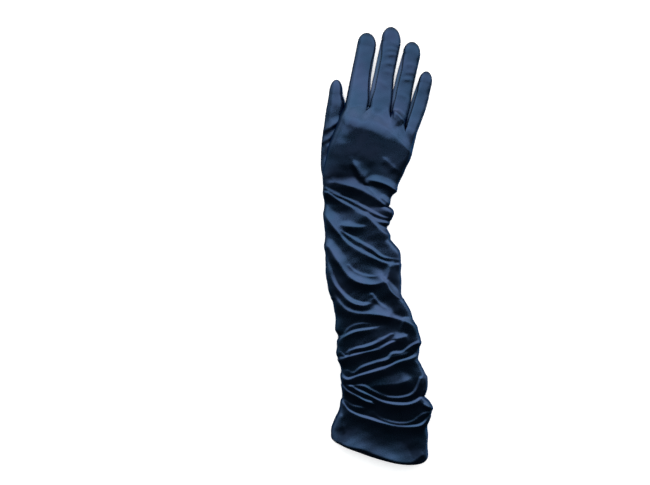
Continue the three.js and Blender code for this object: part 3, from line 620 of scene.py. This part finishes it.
def finger_strips(k):
    """Back, palm, left and right strips of a finger as grids from the crotch to the tip.
    The seams' angles open along the shaft, close in on the crotch and meet before the tip."""
    shaft, cap, tip = finger_sections(k)
    v = np.linspace(0, 1, FINGER_ROWS + 1)
    opened = mix(SEAM_REST, 1, ease(*SEAM_OPENS, v) * (1 - ease(*SEAM_CLOSES, v)))[:, None]
    back_left, palm_left, back_right, palm_right = FINGERS[k, 9:, None, None] * opened
    back_left = 180 - back_left
    palm_left = -180 - palm_left

    def strip(start, end, columns):
        """The shaft's surface between two angles of each section."""
        share = np.linspace(0, 1, columns + 1)[None, :]
        return section_points(shaft, mix(start, end, share), FINGER_CROWN)

    def closed(rows, start, end):
        """The same rows with the rounded end's, between two angles, and the tip."""
        columns = rows.shape[1]
        ends = section_points(cap, np.linspace(start, end, columns), FINGER_CROWN)
        return np.concatenate([rows, ends, np.broadcast_to(tip, (1, columns, 3))])

    strips = {
        "back": closed(strip(back_left, back_right, BACK_COLUMNS[k]), 180, 0),
        "palm": closed(strip(palm_right, palm_left, PALM_COLUMNS), 0, -180),
        "right": strip(back_right + TUCK, palm_right - TUCK, SIDE_COLUMNS),
        "left": strip(360 + palm_left + TUCK, back_left - TUCK, SIDE_COLUMNS),
    }
    if k > 0:
        line = crotch_line(k)
        strips["left"][0] = line
        strips["palm"][0, -1] = line[0]
        strips["back"][0, 0] = line[-1]
    if k < 3:
        line = crotch_line(k + 1)
        strips["right"][0] = line[::-1]
        strips["palm"][0, 0] = line[0]
        strips["back"][0, -1] = line[-1]
    return strips


# From the knuckles to the fingers
def side_by_side(rows):
    """The fingers' rows as one row, with the points that they share taken once."""
    return np.concatenate([row[min(k, 1):] for k, row in enumerate(rows)])


def over_fingers(values):
    """Values across the four fingers, with those between the outer fingers' middles taken
    from a Hermite curve through the four middles, and half a sine wave over that span."""
    middles = np.array([sum(BACK_COLUMNS[:k]) + BACK_COLUMNS[k] // 2 for k in range(4)])
    columns = np.arange(len(values))
    curve = through_rows(values[middles, None], middles.astype(float), columns.astype(float))
    along = np.clip((columns - middles[0]) / (middles[-1] - middles[0]), 0, 1)
    carried = np.where((along > 0) & (along < 1), curve[:, 0], values)
    return carried, np.sin(np.pi * along)


def bridged(values):
    """Heights across the fingers with the dips between them bridged: the rounded maximum
    (a + b + sqrt((a - b)^2 + soft^2)) / 2 of the curve over the fingers and the heights."""
    curve, wave = over_fingers(values)
    soft = BRIDGE_SOFTNESS * np.ptp(values) * wave
    return (curve + values + np.sqrt((curve - values) ** 2 + soft ** 2)) / 2


def first_slopes(strip):
    """How fast each column of a strip climbs at its first row, up per length."""
    step = strip[2] - strip[0]
    return step[:, 2] / np.linalg.norm(step[:, :2], axis=1)


def hand_rows(rows, finger_row, heights, slopes, dip_power):
    """Rows from the knuckles to the crotches: a Hermite curve per column that leaves as the
    sleeve arrives and arrives straight in plan and as steep as the fingers leave, with the
    dips between the fingers growing as k ^ dip_power."""
    last, before = rows[-1], rows[-2]
    k = np.linspace(0, 1, HAND_ROWS + 1)[1:, None, None]
    rise = np.column_stack([finger_row[:, :2], heights]) - last
    reach = np.linalg.norm(rise[:, :2], axis=1)[:, None]
    step = np.linalg.norm(last[:, :2] - before[:, :2], axis=1)[:, None]
    leave = (last - before) / step * reach
    arrive = np.column_stack([rise[:, :2], slopes * reach[:, 0]])
    made = hermite(last, rise, leave, arrive, k)
    made[..., 2] += (finger_row[:, 2] - heights) * k[..., 0] ** dip_power
    return made


# Other surfaces
def thumb_surface():
    """The thumb's tube as rings: Hermite curves through its table, a rounded end and folds
    on its upper side that fade out towards its edges."""
    distances = THUMB[:, 1] - THUMB[0, 1]
    rows = through_rows(THUMB, distances, np.linspace(0, distances[-1], THUMB_ROWS + 1))
    x, y, width, height, lift = rows.T
    shaft = square_sections(x, y, (0, 1), width, height, lift)
    cap = cap_sections(THUMB[-1], THUMB_TIP[:2], (0, 1))
    ring = section_points(np.concatenate([shaft, cap]), THUMB_DEGREES, THUMB_CROWN)
    upper = ease(0, THUMB_FOLD_FADE, 90 - np.abs(THUMB_DEGREES - 90))
    ring = push_out(ring, upper[None, :], THUMB_CREASES)
    return np.concatenate([ring, np.broadcast_to(THUMB_TIP, (1, THUMB_SIDES, 3))])


def hem_surface():
    """The satin turned in at the cuff, as a closed band: the outer face, the inner face a
    wall further in, and between them half a circle, out = sin and in = 1 - cos."""
    sections = sleeve_sections(np.linspace(0, HEM_WIDTH, HEM_ROWS + 1))
    top = plain_top(sections)
    folded = push_out(top)
    outer = np.concatenate([folded, carried_palm(sections, top, folded)[:, 1:-1]], axis=1)
    across = np.roll(outer, -1, axis=1) - np.roll(outer, 1, axis=1)
    along = np.gradient(outer, axis=0)
    normal = unit(np.cross(across, along))
    inner = outer - normal * HEM_WALL
    turns = np.radians(np.linspace(0, 180, HEM_TURNS))[1:-1, None, None]
    rounded = (outer[0] - normal[0] * HEM_WALL * (1 - np.cos(turns)) / 2
               - unit(along[0]) * HEM_WALL / 2 * np.sin(turns))
    return np.concatenate([inner[::-1], rounded[::-1], outer, inner[-1:]])


def between_points(values, lengths, at):
    """A line's values at other lengths along it."""
    return np.stack([np.interp(at, lengths, column) for column in values.T], axis=-1)


def stitches(line, inward):
    """Small rounded stitches along a line, a pitch apart: along = sin of the ring's angle,
    across and up = its cos times the cos and sin of the turn."""
    lengths = chord_lengths(line)
    at = np.arange(STITCH_PITCH, lengths[-1] - STITCH_PITCH, STITCH_PITCH)
    place = between_points(line, lengths, at)
    ahead = unit(between_points(line, lengths, at + 1) - place)
    across = unit(between_points(inward, lengths, at))
    up = np.cross(ahead, across)
    up *= np.sign(up[:, 2:])
    ring, turn = np.meshgrid(STITCH_RINGS, STITCH_TURNS, indexing="ij")
    offset = np.stack([np.sin(ring) * STITCH_LENGTH / 2,
                       np.cos(ring) * np.cos(turn) * STITCH_RADIUS,
                       np.cos(ring) * np.sin(turn) * STITCH_RADIUS], axis=-1)
    frames = np.stack([ahead, np.cross(up, ahead), up], axis=1)
    return list(place[:, None, None] + offset @ frames[:, None])


def stitched_column(grid, column, inwards):
    """Stitches along one column of a grid, with the next column a step inwards."""
    line = grid[:, column]
    return stitches(line, grid[:, column + inwards] - line)


# Meshes from grids
def painted_seam_shade(grid):
    """How much shade is painted at each point from its seam: exp(-(distance / reach)^2), on
    the fingers. A grid that closes in a fingertip has shade painted around it too, by the distance
    up to it."""
    distances = side_distances(grid) / SHADE_REACH
    if np.ptp(grid[-1], axis=0).max() < 1e-6:
        steps = np.linalg.norm(np.diff(grid, axis=0), axis=-1)
        ahead = np.cumsum(steps[::-1], axis=0)[::-1]
        to_tip = np.concatenate([ahead, np.zeros((1, grid.shape[1]))])
        distances = np.minimum(distances, to_tip / TIP_SHADE_REACH)
    return np.exp(-(distances ** 2)) * ease(*SHADE_SPAN, grid[..., 1])


def inner_side(grid, wall):
    """The same cloth's inner face, one wall further in, coarser and turned over. It stays
    a wall above the table."""
    rows, columns = (
        np.unique(np.append(np.arange(0, count, INNER_SKIP), count - 1))
        for count in grid.shape[:2])
    inner = grid - grid_normals(grid) * wall
    inner[..., 2] = np.maximum(inner[..., 2], wall)
    return inner[rows][:, columns][:, ::-1]


def grid_quads(rows, columns, closed):
    """The four corners of each cell of a grid, whose last column meets its first if closed."""
    index = np.arange(rows * columns).reshape(rows, columns)
    if closed:
        index = np.concatenate([index, index[:, :1]], axis=1)
    corners = [index[:-1, :-1], index[:-1, 1:], index[1:, 1:], index[1:, :-1]]
    return np.stack(corners, axis=-1).reshape(-1, 4)


def cloth_map(grid):
    """Each point's place on the flat cloth: across is the mean width, along the mean length."""
    rows, columns = grid.shape[:2]
    wide = np.linalg.norm(np.diff(grid, axis=1), axis=-1).sum(1).mean()
    long = np.linalg.norm(np.diff(grid, axis=0), axis=-1).sum(0).mean()
    u, v = np.meshgrid(np.linspace(0, wide, columns), np.linspace(0, long, rows))
    return np.stack([u, v], axis=-1).reshape(-1, 2)


def add_piece(name, grids, material, wall=None, closed=False):
    """One mesh from grids, with an inner face where it has a wall. Points that coincide are
    welded, and a quad of which two corners meet becomes a triangle."""
    if wall:
        grids = grids + [inner_side(grid, wall) for grid in grids]
    quads = []
    start = 0
    for grid in grids:
        rows, columns = grid.shape[:2]
        quads.append(start + grid_quads(rows, columns, closed))
        start += rows * columns
    quads = np.concatenate(quads)
    points = np.concatenate([grid.reshape(-1, 3) for grid in grids])
    maps = np.concatenate([cloth_map(grid) for grid in grids])
    if closed:
        painted_shades = np.zeros(len(points))
    else:
        painted_shades = np.concatenate([painted_seam_shade(grid).ravel() for grid in grids])
    _, first, weld = np.unique(
        np.round(points, 3), axis=0, return_index=True, return_inverse=True)
    welded = weld.ravel()[quads]
    own = welded != np.roll(welded, 1, axis=1)
    whole, pinched = own.all(axis=1), own.sum(axis=1) == 3
    corners = np.concatenate([quads[whole].ravel(), quads[pinched][own[pinched]]])
    faces = welded[whole].tolist() + welded[pinched][own[pinched]].reshape(-1, 3).tolist()
    mesh = bpy.data.meshes.new(name)
    mesh.from_pydata((points[first] * MM).tolist(), [], faces)
    layer = mesh.uv_layers.new(name="cloth")
    layer.data.foreach_set("uv", (maps[corners] * MM).astype(np.float32).ravel())
    seams = mesh.attributes.new("painted_seam_shade", "FLOAT", "POINT")
    seams.data.foreach_set("value", painted_shades[first].astype(np.float32))
    mesh.polygons.foreach_set("use_smooth", np.ones(len(faces), bool))
    mesh.materials.append(material)
    mesh.update()
    mesh.set_sharp_from_angle(angle=math.radians(SHARP_DEGREES))
    piece = bpy.data.objects.new(name, mesh)
    bpy.context.scene.collection.objects.link(piece)
    return piece


# Materials
class Socket:
    """An output in a node tree. + - * with another one or a number add a Math node, in
    either order, and node() adds any other node."""

    def __init__(self, tree, out=None):
        self.tree = tree
        self.out = out

    def node(self, kind, settings, inputs, output=0):
        """Adds a node: first its settings, then the values or links of its inputs."""
        made = self.tree.nodes.new(kind)
        for name, setting in settings.items():
            setattr(made, name, setting)
        for name, value in inputs.items():
            if isinstance(value, Socket):
                self.tree.links.new(value.out, made.inputs[name])
            else:
                made.inputs[name].default_value = value
        return Socket(self.tree, made.outputs[output])

    def math(self, operation, *values):
        """A Math node on one or two values."""
        return self.node("ShaderNodeMath", {"operation": operation}, dict(enumerate(values)))

    def __add__(self, other):
        return self.math("ADD", self, other)

    def __radd__(self, other):
        return self.math("ADD", other, self)

    def __sub__(self, other):
        return self.math("SUBTRACT", self, other)

    def __rsub__(self, other):
        return self.math("SUBTRACT", other, self)

    def __mul__(self, other):
        return self.math("MULTIPLY", self, other)

    def __rmul__(self, other):
        return self.math("MULTIPLY", other, self)

    def sine(self):
        """Its sine, from -1 to 1."""
        return self.math("SINE", self)

    def noise(self, scale, detail=2.0, roughness=0.5):
        """Cloudy values from 0 to 1 at this place."""
        inputs = {"Vector": self, "Scale": scale, "Detail": detail, "Roughness": roughness}
        return self.node("ShaderNodeTexNoise", {}, inputs, "Fac")

    def beside(self, output):
        """Another output of the same node."""
        return Socket(self.tree, self.out.node.outputs[output])

    def colour(self, low, high):
        """The first colour where this value is 0, the second where it is 1."""
        return self.node("ShaderNodeMix", {"data_type": "RGBA"}, {0: self, 6: low, 7: high}, 2)

    def ramp(self, start, end, low, high):
        """Low up to start, high from end on, and smooth between them."""
        return self.node("ShaderNodeMapRange", {"interpolation_type": "SMOOTHSTEP"},
                         {"Value": self, "From Min": start, "From Max": end,
                          "To Min": low, "To Max": high})

    def into(self, target):
        """Links it to an input of a shader."""
        self.tree.links.new(self.out, target)


def fill_in(shader, values):
    """Sets the inputs that are the same all over."""
    for name, value in values.items():
        shader[name].default_value = value


def blank_material(name):
    """A new material, its node tree to add nodes to, and its shader's inputs."""
    material = bpy.data.materials.new(name)
    material.use_nodes = True
    tree = material.node_tree
    return material, Socket(tree), tree.nodes["Principled BSDF"].inputs


def dyed(colour, parts):
    """A colour with its red, green and blue turned up or down."""
    return (*(dye * part for dye, part in zip(colour, parts)), 1)


CLOUDS = 38.0  # noise scales, per metre
PEBBLES = 420.0
FUZZ = 1500.0
YARN = 0.42  # mm
FLOAT_RELIEF = 0.10  # heights of the weave beside the pebble's
PICK_RELIEF = 0.08
RELIEF_HEIGHT = 0.00012  # m
RELIEF_STRENGTH = 0.35
TEAL = (0.78, 0.95, 0.92)  # parts of the dye where it looks teal or violet, of the shade painted beside the seams, and of the thread's darker fibres
VIOLET = (1.2, 1.05, 1.08)
PAINTED_SEAM_DARK = (0.1, 0.1, 0.1)
THREAD_DARK = (0.6, 0.6, 0.6)
MOTTLE_GAIN = 2.4
MOTTLE_SHIFT = 0.7
CLOUD_GLOSS = 0.08  # how much rougher the satin gets with the clouds and the pebble
PEBBLE_GLOSS = 0.05
SHEEN_TINT = (0.25, 0.34, 0.5, 1)


def satin(name, colour, roughness, metallic=1.0):
    """Navy satin: a metal-like base tinted by the dye, mottled between teal and violet, with shade
    painted dark beside its seams and round the fingertips, with cloudy gloss, a slight pebble, and
    as bump the weave's long floats, sin of 5 across + along, and its short picks, sin of across - 3
    along."""
    material, nodes, shader = blank_material(name)
    place = nodes.node("ShaderNodeTexCoord", {}, {}, "Object")
    cloth = nodes.node("ShaderNodeUVMap", {"uv_map": "cloth"}, {})
    cloud = place.noise(CLOUDS)
    pebble = place.noise(PEBBLES, 3.0, 0.6)
    across = nodes.node("ShaderNodeSeparateXYZ", {}, {"Vector": cloth})
    along = across.beside(1)
    turn = 2 * math.pi / (YARN * MM)
    floats = ((across * 5 + along) * (turn / 5)).sine()
    picks = ((across - along * 3) * (turn / 4)).sine()
    relief = pebble + floats * FLOAT_RELIEF + picks * PICK_RELIEF
    mottle = cloud * MOTTLE_GAIN - MOTTLE_SHIFT
    tint = mottle.colour(dyed(colour, TEAL), dyed(colour, VIOLET))
    # painted shade: the colour turns dark beside the fingers' seams, at the crotches and round the
    # fingertips
    seam = nodes.node("ShaderNodeAttribute", {"attribute_name": "painted_seam_shade"}, {}, "Fac")
    (seam * SHADE).colour(tint, dyed(colour, PAINTED_SEAM_DARK)).into(shader["Base Color"])
    gloss = cloud * CLOUD_GLOSS + pebble * PEBBLE_GLOSS + roughness
    gloss.into(shader["Roughness"])
    bump = {"Height": relief, "Strength": RELIEF_STRENGTH, "Distance": RELIEF_HEIGHT}
    nodes.node("ShaderNodeBump", {}, bump).into(shader["Normal"])
    fill_in(shader, {"Metallic": metallic, "Specular Tint": SHEEN_TINT})
    return material


def sewing_thread(name, colour):
    """Sewing thread: matt, with a fine fuzz of lighter and darker fibres."""
    material, nodes, shader = blank_material(name)
    place = nodes.node("ShaderNodeTexCoord", {}, {}, "Object")
    fuzz = place.noise(FUZZ)
    fuzz.colour(dyed(colour, THREAD_DARK), (*colour, 1)).into(shader["Base Color"])
    fill_in(shader, {"Roughness": 0.6, "Specular IOR Level": 0.08})
    return material


NAVY_DYE = (0.0316, 0.0575, 0.117)
NAVY = satin("navy_satin", NAVY_DYE, 0.21)
# the strips between the fingers: a more matt satin, dyed lighter than the rest as light painted
# into the shaded gaps between the fingers
NAVY_SIDE = satin("navy_satin_side", (0.055, 0.095, 0.18), 0.36, 0.3)
NAVY_HEM = satin("navy_satin_hem", NAVY_DYE, 0.21)
THREAD = sewing_thread("navy_thread", (0.004, 0.006, 0.014))

# The back and the palm
sleeve = sleeve_sections(np.linspace(HEM_WIDTH, SLEEVE_LENGTH, SLEEVE_ROWS + 1))
fingers = [finger_strips(k) for k in range(4)]
backs = [creased(finger["back"]) for finger in fingers]
palms = [finger["palm"] for finger in reversed(fingers)]
back_row = side_by_side([strip[0] for strip in backs])
palm_row = side_by_side([strip[0] for strip in palms])
back_slopes, _ = over_fingers(side_by_side([first_slopes(strip) for strip in backs]))

sleeve_top = plain_top(sleeve)
hand_top = hand_rows(sleeve_top, back_row, bridged(back_row[:, 2]), back_slopes, BACK_DIP_POWER)
hand_share = np.concatenate([np.zeros(len(sleeve_top)), np.linspace(0, 1, HAND_ROWS + 1)[1:]])
gathered = (1 - ease(*HAND_FADE, hand_share))[:, None]
back_grid = push_out(np.concatenate([sleeve_top, hand_top]), gathered)
sleeve_palm = carried_palm(sleeve, sleeve_top, back_grid[:len(sleeve_top)])
hand_palm = hand_rows(sleeve_palm, palm_row, palm_row[:, 2], 0, PALM_DIP_POWER)
palm_grid = np.concatenate([sleeve_palm, hand_palm])

back_grids = [sink_seams(dented(grid)) for grid in [back_grid] + backs]
palm_grids = [sink_seams(grid) for grid in [palm_grid] + palms]
back = add_piece("satin_back", back_grids, NAVY, WALL)
palm = add_piece("satin_palm", palm_grids, NAVY, WALL)
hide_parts("back_panel")
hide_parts("palm_panel")
pieces = [back, palm]

# The strips between the fingers
for k in range(3):
    pair = [sink_seams(strip, SIDE_GROOVE, SIDE_REACH)
            for strip in (fingers[k]["right"], fingers[k + 1]["left"])]
    name = f"{FINGER_NAMES[k]}_{FINGER_NAMES[k + 1]}"
    strip = add_piece("satin_side_" + name, pair, NAVY_SIDE, WALL)
    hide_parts("fourchette_" + name)
    pieces.append(strip)

# The thumb and the hem
thumb_grid = thumb_surface()
thumb = add_piece("satin_thumb", [thumb_grid], NAVY, WALL, closed=True)
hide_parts("thumb")
pieces.append(thumb)

hem = add_piece("satin_hem", [hem_surface()], NAVY_HEM, closed=True)
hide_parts("cuff_hem")
pieces.append(hem)

# Stitching beside the finger seams and up the thumb
sewn = []
for k, strip in enumerate(backs):
    shaft = sink_seams(strip)[SEWN_ROWS]
    if k > 0:
        sewn += stitched_column(shaft, STITCH_INSET, 1)
    if k < 3:
        sewn += stitched_column(shaft, -1 - STITCH_INSET, -1)
thumb_column = np.argmin(np.abs(THUMB_DEGREES - THUMB_SEAM_DEGREES))
sewn += stitched_column(thumb_grid[THUMB_SEWN_ROWS], thumb_column, -1)
stitching = add_piece("stitching", sewn, THREAD, closed=True)
pieces.append(stitching)

for piece in pieces:
    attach(piece, "root")

# The table
FLOOR_HALF = 6
FLOOR_LEVEL = -0.0004  # just under the glove
floor_mesh = bpy.data.meshes.new("floor")
floor_corners = [(x * FLOOR_HALF, y * FLOOR_HALF, FLOOR_LEVEL)
                 for x, y in ((-1, -1), (1, -1), (1, 1), (-1, 1))]
floor_mesh.from_pydata(floor_corners, [], [(0, 1, 2, 3)])
table, _, table_shader = blank_material("white_table")
fill_in(table_shader, {"Base Color": (0.94, 0.94, 0.95, 1), "Roughness": 0.8,
                       "Emission Color": (1, 1, 1, 1), "Emission Strength": 0.45})
floor_mesh.materials.append(table)
floor = bpy.data.objects.new("floor", floor_mesh)
bpy.context.scene.collection.objects.link(floor)
floor.visible_glossy = False

# A long soft light beyond the fingertips, as wide as the room, and dark behind the cuff. The
# direction is sideways to the little finger's side, towards the fingertips, and upwards, each
# from -1 to 1, and a ramp says between which two of its values the glow goes from what to what.
LIGHT = 2.3
LEAST_GLOW = 0.012
world = bpy.data.worlds.new("studio")
bpy.context.scene.world = world
world.use_nodes = True
sky = Socket(world.node_tree)
direction = sky.node("ShaderNodeTexCoord", {}, {}, "Generated")
sideways = sky.node("ShaderNodeSeparateXYZ", {}, {"Vector": direction})
towards = sideways.beside(1)
upwards = sideways.beside(2)
reach = sky.node("ShaderNodeMapRange", {},
                 {"Value": towards + sideways * sideways * 0.3,
                  "From Min": 0.02, "From Max": 0.95})
# a faint light on the left, ahead of the cuff
from_left = sideways.ramp(-0.15, -0.6, 0.0, 0.09) * towards.ramp(-0.25, 0.15, 0.0, 1.0)
# what a pale table throws back from below: nothing behind the cuff, little far ahead
from_table = upwards.ramp(0.3, -0.1, 0.0, 0.42) * towards.ramp(-0.45, 0.0, 0.05, 1.0)
from_table = from_table * towards.ramp(0.4, 0.85, 1.0, 0.15)
from_table = from_table * sideways.ramp(-0.4, 0.05, 0.35, 1.0)
above_table = upwards.ramp(-0.05, 0.25, 0.0, 1.0)
glow = (reach * reach + from_left) * above_table + from_table + LEAST_GLOW
studio = world.node_tree.nodes["Background"].inputs
(glow * LIGHT).into(studio["Strength"])
reach.colour((0.66, 0.96, 1.0, 1), (1.15, 1.05, 0.97, 1)).into(studio["Color"])


def soft_box(name, place, size, power, in_gloss):
    """A soft box that looks straight down, unseen itself: metres and watts."""
    lamp = bpy.data.lights.new(name, "AREA")
    lamp.shape = "RECTANGLE"
    lamp.size, lamp.size_y = size
    lamp.energy = power
    box = bpy.data.objects.new(name, lamp)
    box.location = place
    box.visible_camera = False
    box.visible_glossy = in_gloss
    bpy.context.scene.collection.objects.link(box)


soft_box("over_fingers", (0.5, 0.415, 0.6), (2.0, 0.6), 4.5, True)
soft_box("over_wrist", (0, 0.062, 0.13), (0.5, 0.045), 0.02, True)
soft_box("over_table", (0, 0, 2.2), (2.4, 2.4), 42.0, False)

# The camera looks straight down. The view's width is measured at mid height of the glove.
VIEW_WIDTH = 0.6678
VIEW_MIDDLE = (-0.0529, 0.0036)
VIEW_LEVEL = 0.012
CAMERA_HEIGHT = 3.5
SENSOR_WIDTH = 36
camera = bpy.data.cameras.new("camera")
camera.sensor_width = SENSOR_WIDTH
camera.lens = SENSOR_WIDTH * (CAMERA_HEIGHT - VIEW_LEVEL) / VIEW_WIDTH
camera.clip_end = 20
eye = bpy.data.objects.new("camera", camera)
eye.location = (*VIEW_MIDDLE, CAMERA_HEIGHT)
bpy.context.scene.collection.objects.link(eye)
bpy.context.scene.camera = eye
bpy.context.scene.view_settings.view_transform = "Standard"
